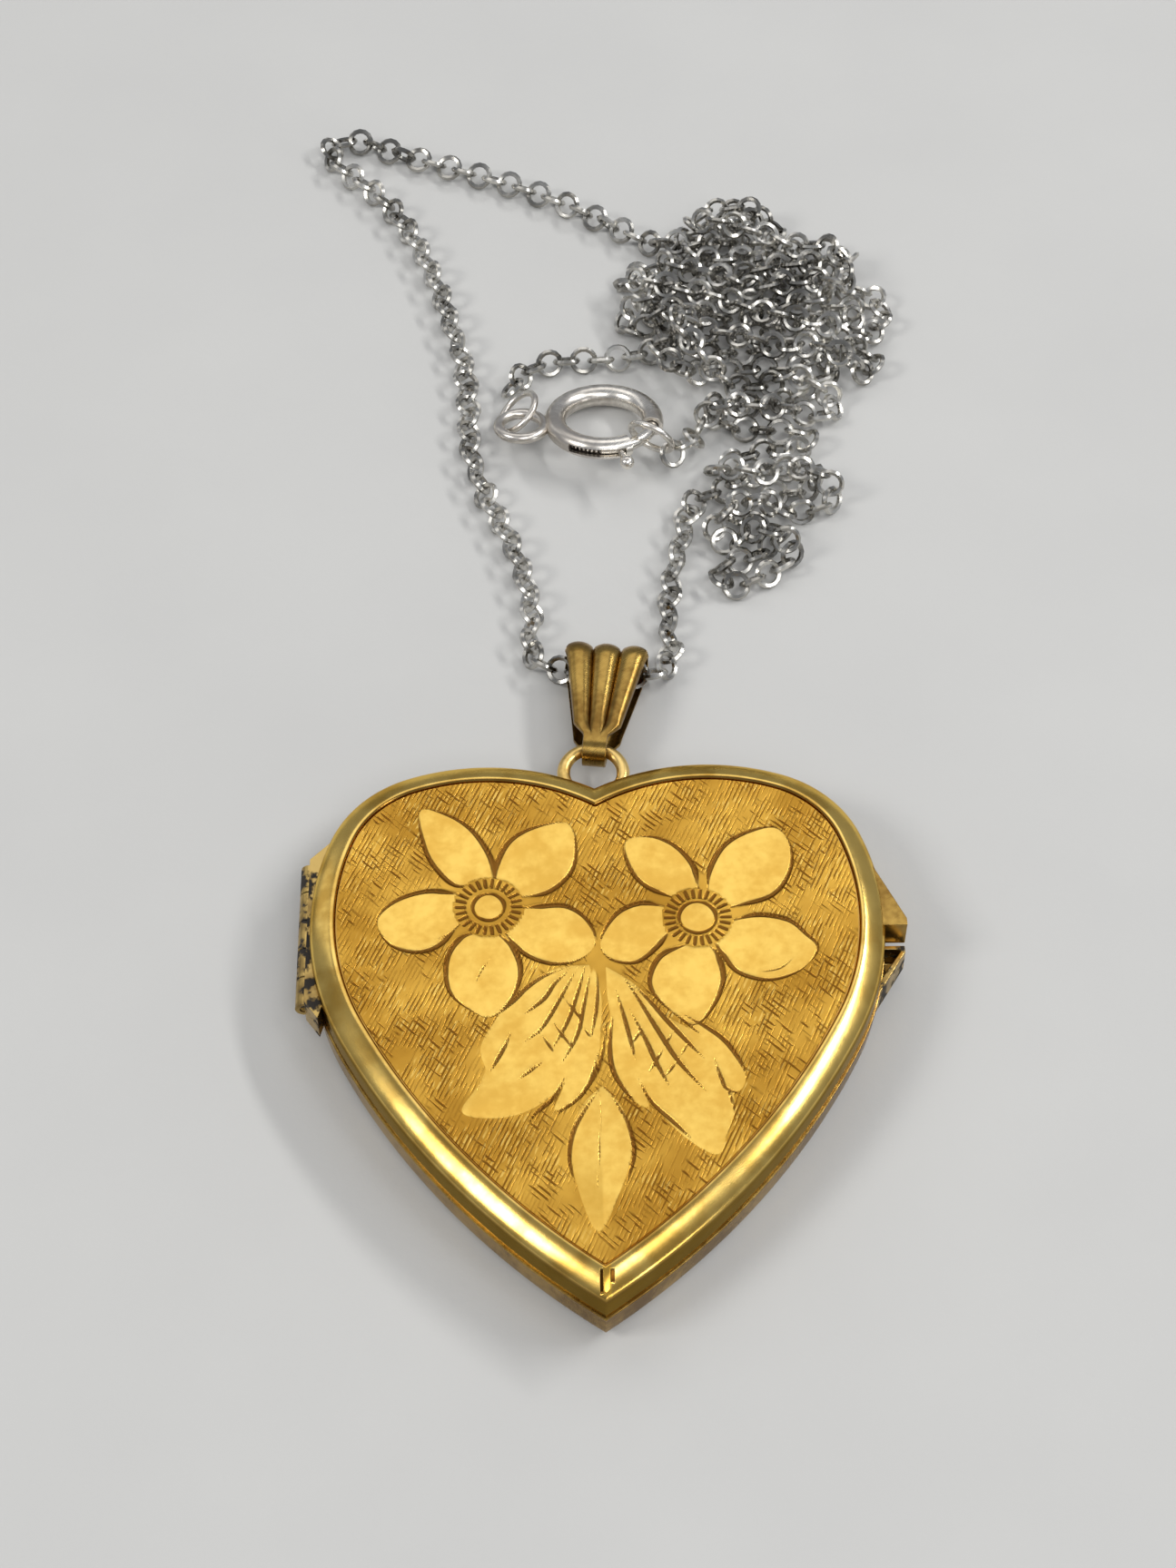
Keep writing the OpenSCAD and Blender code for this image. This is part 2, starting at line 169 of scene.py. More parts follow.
table_z = -0.00001
table_corners = ((-1, -1), (1, -1), (1, 1), (-1, 1))
table_mesh = bpy.data.meshes.new("table_top")
table_mesh.from_pydata([(x, y, table_z) for x, y in table_corners], [], [(0, 1, 2, 3)])
table = bpy.data.objects.new("table_top", table_mesh)
table.data.materials.append(table_finish)
bpy.context.collection.objects.link(table)


def window_light(name, place, target, size, watts, colour):
    """A flat rectangular lamp at place that faces target."""
    lamp = bpy.data.lights.new(name, "AREA")
    lamp.shape, lamp.size, lamp.size_y = "RECTANGLE", *size
    lamp.energy, lamp.color = watts, colour
    held = bpy.data.objects.new(name, lamp)
    held.location = place
    away = held.location - Vector(target)
    held.rotation_euler = away.to_track_quat("Z", "Y").to_euler()
    bpy.context.collection.objects.link(held)


locket = (0, 0, 0)
warm, daylight, white = (1, 0.98, 0.95), (1, 0.99, 0.97), (1, 1, 1)
window_light("window_behind", (-0.05, 0.40, 0.56), locket, (0.60, 0.34), 0.72, warm)
window_light("window_left", (-0.36, -0.10, 0.36), locket, (0.15, 0.15), 0.85, daylight)
window_light("window_far_left", (-0.40, 0.34, 0.26), locket, (0.14, 0.34), 0.11, daylight)
window_light("window_right", (0.33, 0.12, 0.33), locket, (0.30, 0.035), 0.95, white)
window_light("window_front_right", (0.25, -0.10, 0.43), locket, (0.10, 0.12), 0.22, white)
window_light("low_right", (0.45, -0.30, 0.12), locket, (0.10, 0.10), 0.25, white)
window_light("ceiling_in_front", (0.1, -0.42, 0.62), (0, 0.01, 0), (0.35, 0.35), 1.45, white)
bpy.context.scene.view_settings.view_transform = "Standard"
room = bpy.data.worlds.new("room")
bpy.context.scene.world = room
room.use_nodes = True
room.node_tree.nodes["Background"].inputs[0].default_value = (0.88, 0.92, 1.0, 1)
room.node_tree.nodes["Background"].inputs[1].default_value = 0.33

# ---- The chain -----------------------------------------------------------------------
# One fine trace chain of round silver wire links, each turned a quarter from the next.
# It runs from the clasp's jump ring through the heap, round the far corner, down through
# the bail, and back through the heap to the ring that the clasp is closed on.
wire_r = 0.14
link_r = 0.6
link_pitch = 0.9
tail_run = [(-3.9, 39.6, .9), (-3.2, 40.9, .9), (-2, 41.7, .9), (-.4, 41.9, .9), (1.4, 42, .9),
            (3.2, 42.4, .9), (5, 43, 1)]
left_run = [(3.2, 50.8, .9), (1, 52.6, .8), (-2.5, 54.8, .8), (-6.5, 56.6, .8), (-10, 58, .8),
            (-12, 59, .8), (-13.2, 59, .8), (-13.8, 58.2, .8), (-13.2, 57, .8), (-12, 55.8, .8),
            (-10.4, 53.8, .8), (-9, 51.2, .8), (-7.8, 48, .8), (-7, 45, .8), (-6.3, 42, .8),
            (-6, 39, .8), (-5.9, 36, .8), (-5.2, 33, .8), (-4, 30, .8), (-3.2, 27.4, .8),
            (-2.8, 25, .8), (-2.9, 22.6, .85), (-2.4, 21.7, .95), (-1.3, 21.1, 1.12),
            (.7, 20.9, 1.22), (2.4, 20.7, 1.18), (3.5, 21.1, 1.1), (3.9, 22.2, 1),
            (3.8, 23.6, .9), (3.9, 25.4, .8), (4.2, 27.6, .8), (4.7, 29.6, .8), (5.3, 32, .8)]
heap_y = (26, 28, 30, 31.5, 34, 38, 41, 44.5, 47, 50, 53)
heap_left = (7.2, 6.6, 6.2, 6.0, 6.2, 6.4, 5.4, 1.8, 2.6, 5.6, 8.6)
heap_right = (8.4, 9.0, 10.6, 12.8, 11.0, 11.8, 14.4, 15.8, 15.0, 11.0, 9.4)


def heap_rows(y0, y1, pitch, z, slope, seed):
    """Rows to and fro across the heap from y0 to y1: x goes between the heap's edges by
    turns, y climbs by slope along a row, and each point strays a little."""
    ys = np.arange(y0, y1, pitch if y1 > y0 else -pitch)
    t = np.array([0.02, 0.3, 0.6, 0.98])
    across = np.where(np.arange(len(ys))[:, None] % 2, 1 - t, t)
    left = np.interp(ys, heap_y, heap_left)[:, None]
    right = np.interp(ys, heap_y, heap_right)[:, None]
    x = left + (right - left) * across
    y = ys[:, None] + slope * (x - (left + right) / 2)
    p = np.stack([x.ravel(), y.ravel(), np.full(x.size, z)], 1)
    return p + np.random.default_rng(seed).normal(0, (0.28, 0.28, 0.1), p.shape)


def through(points, step):
    """Catmull-Rom curve through the points, resampled so that its points are step apart."""
    p = np.array(points, float)
    p = np.vstack([2 * p[0] - p[1], p, 2 * p[-1] - p[-2]])
    t = np.linspace(0, 1, 16, endpoint=False)[None, :, None]
    a, b, c, d = (p[i:len(p) - 3 + i, None] for i in range(4))
    curve = 0.5 * (2 * b + (c - a) * t + (2 * a - 5 * b + 4 * c - d) * t**2
                   + (3 * b - a - 3 * c + d) * t**3)
    curve = np.vstack([curve.reshape(-1, 3), p[-2]])
    run = np.r_[0, np.cumsum(np.linalg.norm(np.diff(curve, axis=0), axis=1))]
    at = np.linspace(0, run[-1], int(run[-1] / step) + 1)
    return np.stack([np.interp(at, run, curve[:, i]) for i in range(3)], 1)


def settled(route, loose, gap, rounds):
    """The loose points sink on each other: every round pulls them down, evens them out,
    keeps strands gap apart and all of them above the table."""
    p, start = route.copy(), route.copy()
    near = np.abs(np.subtract.outer(np.arange(len(p)), np.arange(len(p)))) < 4
    hold = loose[:, None]
    for _ in range(rounds):
        p[:, 2] -= 0.05 * loose
        p[:, :2] += 0.03 * hold * (start - p)[:, :2]
        p[1:-1] += 0.22 * hold[1:-1] * ((p[:-2] + p[2:]) / 2 - p[1:-1])
        apart = p[:, None] - p[None]
        far = np.linalg.norm(apart, axis=2) + 1e-6
        push = np.where(near, 0, np.clip(gap - far, 0, None) * 0.5) / far
        p += 0.7 * hold * (apart * push[..., None]).sum(1)
        p[:, 2] = np.maximum(p[:, 2], 0.8)
    return p


end_run = [(5.6, 36.2, 1.6), (4.9, 35.2, 1.3), (4.4, 34.9, 1.3)]
chain_line = through(np.vstack([
    tail_run, heap_rows(43.9, 52.6, 1.75, 0.9, 0.10, 1),
    heap_rows(51.4, 49, 1.75, 2.0, -0.1, 2), left_run,
    heap_rows(33.6, 26.6, 1.7, 0.9, 0.05, 3), heap_rows(27.4, 52.4, 1.95, 1.9, 0.22, 4),
    heap_rows(49.4, 36.4, 2.4, 3.0, -0.25, 5), end_run]), 0.6)
held = ((chain_line[:, 0] < 5.5) & (chain_line[:, 1] < 43.2)) | (chain_line[:, 0] < 1.2) \
    | (chain_line[:, 1] < 25.6)
strand_gap, settling_rounds = 1.3, 140
chain_line = settled(chain_line, (~held).astype(float), strand_gap, settling_rounds)
chain_line = through(chain_line[::2], 0.45)


def closed_faces(rows, columns, wrap_rows=True, wrap_columns=True):
    """Quads of a grid of points, joined round at the ends where a wrap is asked for."""
    i = np.arange(rows if wrap_rows else rows - 1)[:, None]
    j = np.arange(columns if wrap_columns else columns - 1)[None]
    i2, j2 = (i + 1) % rows, (j + 1) % columns
    return np.stack([i * columns + j, i * columns + j2, i2 * columns + j2, i2 * columns + j],
                    -1).reshape(-1, 4)


def new_piece(name, parts, finish, body, crease=35, marks=None):
    """A mesh in millimetres of several closed parts, each (points, quads), turned so that its
    volume is positive, with coincident points merged.  marks are values at its points."""
    points, faces, count = [], [], 0
    for p, f in parts:
        p = np.asarray(p, float).reshape(-1, 3)
        a, b, c, d = (p[f[:, k]] - p.mean(0) for k in range(4))
        bulk = (a * np.cross(b, c)).sum() + (a * np.cross(c, d)).sum()
        faces.append((f if bulk > 0 else f[:, ::-1]) + count)
        points.append(p)
        count += len(p)
    mesh = bpy.data.meshes.new(name)
    mesh.from_pydata((np.vstack(points) * 0.001).tolist(), [], np.vstack(faces).tolist())
    for mark, values in (marks or {}).items():
        mesh.attributes.new(mark, "FLOAT", "POINT").data.foreach_set(
            "value", np.asarray(values, np.float32))
    work = bmesh.new()
    work.from_mesh(mesh)
    bmesh.ops.remove_doubles(work, verts=work.verts, dist=3e-7)
    bmesh.ops.dissolve_degenerate(work, edges=work.edges, dist=1e-7)
    work.to_mesh(mesh)
    work.free()
    mesh.shade_smooth()
    mesh.set_sharp_from_angle(angle=radians(crease))
    mesh.materials.append(finish)
    made = bpy.data.objects.new(name, mesh)
    bpy.context.collection.objects.link(made)
    if body:
        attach(made, body)
    return made


def links_along(line, around=14, ring=5):
    """Round links in a row: centre c, along t, across s or up u by turns.  Point (a, b) is
    c + (link_r + wire_r cos b)(t cos a + w sin a) + wire_r sin b (t x w)."""
    run = np.r_[0, np.cumsum(np.linalg.norm(np.diff(line, axis=0), axis=1))]
    at = np.arange(0.5 * link_pitch, run[-1], link_pitch)
    c, before, after = (np.stack([np.interp(at + o, run, line[:, i]) for i in range(3)], 1)
                        for o in (0, -0.4, 0.4))
    t = after - before
    t /= np.linalg.norm(t, axis=1)[:, None]
    s = np.cross(t, (0, 0, 1))
    s /= np.linalg.norm(s, axis=1)[:, None]
    u = np.cross(s, t)
    chance = np.random.default_rng(7)
    odd = np.arange(len(c)) % 2
    in_heap = (c[:, 0] > 4.6) & (c[:, 1] > 29) | (c[:, 0] > 1.2) & (c[:, 1] > 43)
    roll = (odd * 90 + 42 + chance.normal(0, np.where(in_heap, 13, 9)))[:, None, None, None]
    lowest = link_r * np.abs(np.sin(np.radians(roll.ravel()))) + wire_r + 0.01
    c = np.stack([c[:, 0], c[:, 1], np.maximum(c[:, 2] - np.where(in_heap, 0.1, 0.2), lowest)], 1)
    t, s, u, c = (x[:, None, None] for x in (t, s, u, c))
    w = s * np.cos(np.radians(roll)) + u * np.sin(np.radians(roll))
    a = (np.arange(around) * 2 * pi / around)[None, :, None, None]
    b = (np.arange(ring) * 2 * pi / ring)[None, None, :, None]
    p = c + (link_r + wire_r * np.cos(b)) * (t * np.cos(a) + w * np.sin(a)) \
        + wire_r * np.sin(b) * np.cross(t, w)
    one = closed_faces(around, ring)
    every = one[None] + (np.arange(len(p)) * around * ring)[:, None, None]
    return p.reshape(-1, 3), every.reshape(-1, 4)


place, fill = new_finish("tarnished_chain_silver")
grime = place.clouds(0.0025, 4)
spots = place.clouds(0.0004, 3)
shine = grime.between(0.35, 0.65) * 0.7 + spots * 0.3
chain_finish = fill(
    Base_Color=shine.blended((0.20, 0.19, 0.17), (0.72, 0.70, 0.65)),
    Metallic=1.0, Roughness=grime * 0.2 + 0.16, Normal=spots.dents(0.00001, 0.5))
chain = new_piece("trace_chain", [links_along(chain_line)], chain_finish, None, 60)
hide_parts("chain_left", "chain_in_bail", "chain_right", "chain_heap", "chain_tail")
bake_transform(chain)

# ---- The clasp and its rings ---------------------------------------------------------
# A spring bolt ring bent from silver tube, a round eye soldered to it, and two rings of
# drawn wire.  It lies tilted, its near edge up, closed on the ring at the chain's end.
clasp_centre = np.array((0.95, 37, 1.32))
clasp_r = 2.5
tilt = radians(-14)


def on_clasp(p):
    """Points of the clasp's own flat frame, tilted about X and put in place."""
    x, y, z = np.moveaxis(np.asarray(p, float), -1, 0)
    tilted = [x, y * cos(tilt) - z * sin(tilt), y * sin(tilt) + z * cos(tilt)]
    return clasp_centre + np.stack(tilted, -1)


def wire_loop(centre, r, wire, lean=0.0, swing=0.0, turn=0.0, around=72, ring=18):
    """A closed ring of round wire in the clasp's frame: leaned about X, swung about Y,
    then turned about Z."""
    a = np.arange(around)[:, None] * 2 * pi / around
    b = np.arange(ring)[None] * 2 * pi / ring
    p = np.stack([(r + wire * np.cos(b)) * np.cos(a), (r + wire * np.cos(b)) * np.sin(a),
                  wire * np.sin(b) + 0 * a], -1)
    x, y, z = np.moveaxis(p, -1, 0)
    y, z = y * cos(lean) - z * sin(lean), y * sin(lean) + z * cos(lean)
    x, z = x * cos(swing) + z * sin(swing), z * cos(swing) - x * sin(swing)
    x, y = x * cos(turn) - y * sin(turn), x * sin(turn) + y * cos(turn)
    return on_clasp(np.stack([x, y, z], -1) + centre), closed_faces(around, ring)


def polished_metal(name, fresh, worn, rough, scratch=0.4, grain=0.0012):
    """Polished sheet or wire: soft cloudy tarnish, fine scratches one way, and specks."""
    place, fill = new_finish(name)
    clouds = place.clouds(grain * 3, 5)
    rubs = place.clouds(grain, 4, (4, 0.05, 1), 0.6)
    specks = place.clouds(grain * 0.25, 3)
    tarnish = (clouds * 0.7 + specks * 0.3).between(0.38, 0.66)
    return fill(Base_Color=tarnish.blended(fresh, worn), Metallic=1.0,
                Roughness=rough + 0.22 * clouds + 0.10 * rubs - 0.12,
                Normal=(rubs * 0.5 + specks).dents(0.000006, scratch))


silver_finish = polished_metal("polished_silver", (0.88, 0.84, 0.77), (0.55, 0.51, 0.46),
                               0.24)


def tidy_copy(node, name, finish, body, edge=0.02, crease=32):
    """The CAD piece itself, with its triangles merged and its sharp edges rounded by edge."""
    mesh = bpy.data.objects[node].data.copy()
    mesh.name = name
    work = bmesh.new()
    work.from_mesh(mesh)
    bmesh.ops.remove_doubles(work, verts=work.verts, dist=1e-6)
    bmesh.ops.dissolve_limit(work, angle_limit=radians(0.6), verts=work.verts, edges=work.edges)
    work.to_mesh(mesh)
    work.free()
    mesh.shade_smooth()
    mesh.set_sharp_from_angle(angle=radians(crease))
    mesh.materials.clear()
    mesh.materials.append(finish)
    made = bpy.data.objects.new(name, mesh)
    bpy.context.collection.objects.link(made)
    if edge:
        soft = made.modifiers.new("rounded_edges", "BEVEL")
        soft.width, soft.segments, soft.limit_method = edge * 0.001, 2, "ANGLE"
        soft.angle_limit, soft.harden_normals = radians(crease), True
    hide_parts(node)
    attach(made, body)
    return made


clasp_tube = tidy_copy("clasp_tube", "bolt_ring_tube", silver_finish, "back_half")
clasp_bolt = tidy_copy("clasp_bolt", "bolt_and_lever", silver_finish, "clasp_bolt")


def coil_spring(a0, a1, coil_r, wire, turns):
    """A coil round the tube's bent axis: the wire's centre circles the axis as it goes along,
    and its section is a small circle round that."""
    t = np.linspace(0, 1, turns * 12)[:, None]
    a, spin = a0 + (a1 - a0) * t, 2 * pi * turns * t
    b = np.arange(6)[None] * 2 * pi / 6
    r = clasp_r + coil_r * np.cos(spin) + wire * np.cos(b) * np.cos(spin)
    z = coil_r * np.sin(spin) + wire * np.cos(b) * np.sin(spin)
    a = a + wire * np.sin(b) / clasp_r
    p = np.stack([r * np.cos(a), r * np.sin(a), z], -1)
    ends = [p[k][None].mean(1, keepdims=True).repeat(6, 1) for k in (0, -1)]
    p = np.vstack([ends[0], p, ends[1]])
    return on_clasp(p), closed_faces(len(p), 6, False)


spring = new_piece("bolt_spring", [coil_spring(radians(-214), radians(-94.5), 0.24, 0.05, 26)],
                   silver_finish, "back_half", 60)
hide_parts("clasp_spring")
eye_place = np.array((-4.2, -0.35, 0))
eye_r, ring_wire = 1.15, 0.17
clasp_eye = new_piece("clasp_eye_ring", [wire_loop(eye_place, eye_r, 0.28)], silver_finish,
                      "back_half", 60)
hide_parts("clasp_eye")
jump_loop = wire_loop(eye_place + (-0.2, 1.2, 0.05), 1.2, ring_wire, 0, radians(-42), radians(8))
jump_ring = new_piece("clasp_link_ring", [jump_loop], silver_finish, "back_half", 60)
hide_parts("clasp_jump_ring")
end_turn = radians(-32)
end_place = np.array((cos(end_turn), sin(end_turn), 0)) * (clasp_r + 0.32)
end_loop = wire_loop(end_place, eye_r, ring_wire, radians(-62), 0, end_turn)
end_ring = new_piece("chain_end_ring", [end_loop], silver_finish, "back_half", 60)
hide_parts("end_ring")
(chain_line * 0.001).tolist()

# ---- The bail ------------------------------------------------------------------------
# A strip of gold sheet with three pressed flutes, wider at the top, folded over and closed
# into a small curl round the lug.
# The locket's plain gold: its tarnish clouds are wear, and its dark overall tone is painted shade,
# standing in for the shaded table that the back shell's wall reflects.
gold_finish = polished_metal("worn_gold_with_painted_shade", (0.47, 0.30, 0.075), (0.20, 0.11, 0.025), 0.22)
bail_foot = np.array((0.1, 15.86, 1.55))
bail_l, fold_r, curl_r, bail_sheet = 5.15, 1.2, 0.8, 0.25
bail_lean = radians(6.9)
bail_drop = radians(3.67)


def bail_side(n):
    """Side view of the loop, outside: round the fold, along the common tangent, round the
    curl and back.  Gives points (x, z) and their outward directions."""
    a = acos((curl_r - fold_r) / bail_l)
    top = np.linspace(a, -a, n)
    foot = np.linspace(-a, -2 * pi + a, n)
    along = np.linspace(0, 1, n)[1:-1]

    def ray(s):
        return np.stack([np.cos(s), np.sin(s)], -1)

    fold = (bail_l, 0) + fold_r * ray(top)
    curl = curl_r * ray(foot)
    out = np.vstack([ray(top), ray(np.full(n - 2, -a)), ray(foot), ray(np.full(n - 2, a))])
    p = np.vstack([fold, fold[-1] + along[:, None] * (curl[0] - fold[-1]), curl,
                   curl[-1] + along[:, None] * (fold[0] - curl[-1])])
    return p, out


def fluted_bail():
    """The side view carried across the strip: outside face with three round flutes that fade
    into the curl, inside face one sheet thickness in."""
    side, out = bail_side(26)
    x = side[:, 0]
    half = np.interp(x, [-0.9, 0.3, 0.95, bail_l + 0.6, bail_l + 1.3],
                     [0.56, 0.58, 1.12, 2.02, 1.96])
    flute = np.interp(x, [0.3, 1.3, bail_l, bail_l + 1.2], [0.0, 0.25, 0.38, 0.34])
    v = np.linspace(-1, 1, 61)
    lobes = np.abs(np.cos(1.5 * pi * v)) ** 0.5 - 1
    across = np.r_[v, 0.985 * v[::-1]]
    outer = flute[:, None] * lobes[None]
    edge = np.clip((np.abs(v) - 0.93) / 0.07, 0, 1) ** 2 * 0.10
    rise = np.hstack([outer - edge, outer[:, ::-1] * 0.8 - bail_sheet + edge[::-1] * 0.4])
    y = half[:, None] * across[None]
    px = side[:, :1] + out[:, :1] * rise
    pz = side[:, 1:] + out[:, 1:] * rise
    px, pz = (px * cos(bail_drop) + pz * sin(bail_drop),
              pz * cos(bail_drop) - px * sin(bail_drop))
    a = pi / 2 - bail_lean
    p = np.stack([px * cos(a) - y * sin(a), px * sin(a) + y * cos(a), pz], -1) + bail_foot
    return p, closed_faces(len(side), len(across))


# Painted shade: the bail's gold is a darker copy of the locket's gold; its tarnish clouds are wear,
# and its darker overall tone stands in for the shade on its flutes.
bail_finish = polished_metal("worn_bail_gold_with_painted_shade", (0.42, 0.27, 0.07), (0.20, 0.11, 0.025),
                             0.24)
lug_finish = polished_metal("pale_worn_lug_gold", (0.84, 0.60, 0.22), (0.55, 0.34, 0.08), 0.30)
bail = new_piece("fluted_bail", [fluted_bail()], bail_finish, "bail", 50)
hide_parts("bail")

# ---- The engraved cover --------------------------------------------------------------
# One heart stamped from rolled gold: a straight wall, a rounded border, a fine groove, and a
# flat field with a hatched ground.  Two flowers and three leaves are left bright on it, and
# their edges and veins are cut with a graver.
arcs = ((5, 3.05, 10.5), (6.676, 7.654, 5.6), (-0.278, 5.123, 13), (-19.79, 15.28, 35))


def half_outline(inset, steps=(34, 26, 40, 52)):
    """Right half of the heart from the cleft to the tip: four arcs that meet tangentially,
    each with its radius less the inset; the end angles are where the arcs meet x = 0."""
    ends = (acos(-arcs[0][0] / (arcs[0][2] - inset)), radians(70), radians(20), radians(-27.5),
            -acos(-arcs[3][0] / (arcs[3][2] - inset)))
    runs = []
    for (x, y, r), a0, a1, n in zip(arcs, ends, ends[1:], steps):
        a = np.linspace(a0, a1, n, endpoint=(n == steps[-1]))
        runs.append(np.stack([x + (r - inset) * np.cos(a), y + (r - inset) * np.sin(a)], 1))
    half = np.vstack(runs)
    half[0, 0] = half[-1, 0] = 0
    return half


def heart_band(profile):
    """A closed section, a list of (inset, height), carried round the whole heart."""
    rings = []
    for inset, z in profile:
        half = half_outline(inset)
        whole = np.vstack([half, half[-2:0:-1] * (-1, 1)])
        rings.append(np.column_stack([whole, np.full(len(whole), z)]))
    return np.array(rings), closed_faces(len(rings), len(rings[0]))


def heart_field(inset, z0, z1, columns, rows):
    """A heart-shaped plate: columns across, closer at the sides, each from the lower outline to
    the upper one.  Its top face comes first in its points, and its x and y are given too."""
    half = half_outline(inset, (400, 300, 300, 500))
    widest = half[:, 0].argmax()
    u = np.linspace(-1, 1, columns)
    x = half[widest, 0] * np.sin(1.15 * u) / sin(1.15)
    x[[0, -1]] = (-half[widest, 0], half[widest, 0])
    top = np.interp(np.abs(x), half[:widest + 1, 0], half[:widest + 1, 1])
    low = np.interp(np.abs(x), half[:widest - 1:-1, 0], half[:widest - 1:-1, 1])
    t = np.linspace(0, 1, rows)[None]
    y = low[:, None] + (top - low)[:, None] * t
    xx = x[:, None] + 0 * t
    face = np.stack([xx, y, z1 + 0 * y], -1).reshape(-1, 3)
    under = np.stack([np.r_[x, x], np.r_[low, top], np.full(2 * columns, z0)], -1)
    i = np.arange(columns - 1)
    n = columns * rows
    lo, hi = i * rows, i * rows + rows - 1
    ulo, uhi = n + i, n + columns + i
    faces = [closed_faces(columns, rows, False, False)[:, ::-1],
             np.stack([ulo, uhi, uhi + 1, ulo + 1], 1),
             np.stack([lo, ulo, ulo + 1, lo + rows], 1),
             np.stack([hi, hi + rows, uhi + 1, uhi], 1)]
    return np.vstack([face, under]), np.vstack(faces), (xx, y)


petals = [
    [(-5.4, 6.7), (-6.3, 6.7), (-7.2, 7.7), (-7.7, 8.9), (-7.9, 10.8), (-6.6, 10.5), (-5.5, 9.6),
     (-4.7, 8.1), (-4.6, 6.8)],
    [(-4.5, 6.8), (-4.4, 7.9), (-3.8, 9.1), (-2.7, 9.8), (-1.3, 10), (-0.9, 8.9), (-1.1, 7.4),
     (-2.1, 6.3), (-3.4, 6)],
    [(-3.4, 5.4), (-2.6, 5.5), (-1.4, 5.5), (-0.5, 4.8), (-0.1, 3.6), (-0.8, 2.7), (-2.1, 2.5),
     (-3.3, 3.1), (-4.1, 4.2)],
    [(-5.1, 4.2), (-6, 3.9), (-6.6, 2.8), (-6.5, 1.2), (-5.6, 0.2), (-4.7, -0.2), (-3.8, 0.7),
     (-3.4, 2.1), (-3.7, 3.3), (-4.4, 4.1)],
    [(-6, 6.2), (-7.5, 6.4), (-8.9, 5.9), (-9.7, 4.9), (-9.2, 3.7), (-8.1, 3.2), (-7, 3.5),
     (-6.1, 4.6)],
    [(3.5, 5.8), (2.2, 6.5), (1.5, 7.5), (1.3, 8.9), (2.4, 9.2), (3.5, 8.7), (4.3, 7.6),
     (4.5, 6.3)],
    [(4.9, 6.3), (5.1, 7.5), (5.8, 8.7), (6.9, 9.4), (8.1, 9.6), (8.7, 8.6), (8.6, 7.2), (7.7, 5.9),
     (5.8, 5.3)],
    [(5.9, 4.6), (7.1, 4.9), (8.4, 4.6), (9.1, 3.9), (9.6, 3.1), (8.8, 2), (7.4, 1.5), (6.1, 1.9),
     (5.4, 2.9), (5, 3.8)],
    [(3.9, 3.4), (2.7, 2.8), (2.2, 1.5), (2.7, 0.4), (4, -0.7), (4.9, 0.2), (5.4, 1.6), (5.2, 2.8),
     (4.8, 3.4)],
    [(3, 5.4), (1.9, 5.6), (0.8, 5), (0.1, 3.6), (0.5, 2.7), (1.6, 2.5), (2.5, 3.2), (3.2, 4.2)],
]
leaves = [
    [(-0.4, 2.4), (-1.9, 2.2), (-3.3, 1.1), (-4.2, -0.2), (-4.6, -1.7), (-5.1, -3.4), (-5.9, -4.9),
     (-4.3, -5.2), (-2.8, -4.7), (-1.6, -3.5), (-0.8, -1.6), (-0.2, 0.6)],
    [(-0.2, 2.4), (0.1, 0.5), (0, -1.2), (-0.1, -2.2), (-0.5, -3.5), (-1.1, -4.4), (-2, -4.9),
     (-1.7, -4), (-1.4, -3), (-0.8, -1)],
    [(-3.7, 0.6), (-4.4, -0.2), (-5.1, -1.6), (-5, -2.5), (-4.7, -2.9), (-4.2, -1.8), (-3.8, -0.9)],
    [(0.3, 2.3), (1.6, 1.3), (2.9, -0.3), (4.4, -1.3), (5.3, -2.7), (5.6, -4.7), (5.2, -6.2),
     (4.7, -7.1), (3.1, -5.9), (1.8, -3.9), (0.9, -1.9), (0.4, 0.2)],
    [(0.5, 1), (0.4, -1.8), (0.6, -3.2), (1.5, -4.6), (2, -4.7), (1.6, -3.5), (1.4, -2)],
    [(3.5, -0.2), (3.9, -0.4), (5.1, -1.3), (5.8, -2.3), (6.15, -3.2), (5.9, -4), (5.3, -3.9),
     (4.8, -2.4)],
    [(0.05, -3.7), (-0.8, -4.6), (-1.3, -6.1), (-1.2, -8), (-0.3, -10.6), (0.7, -8.7), (1.2, -6.8),
     (0.9, -4.9)],
]
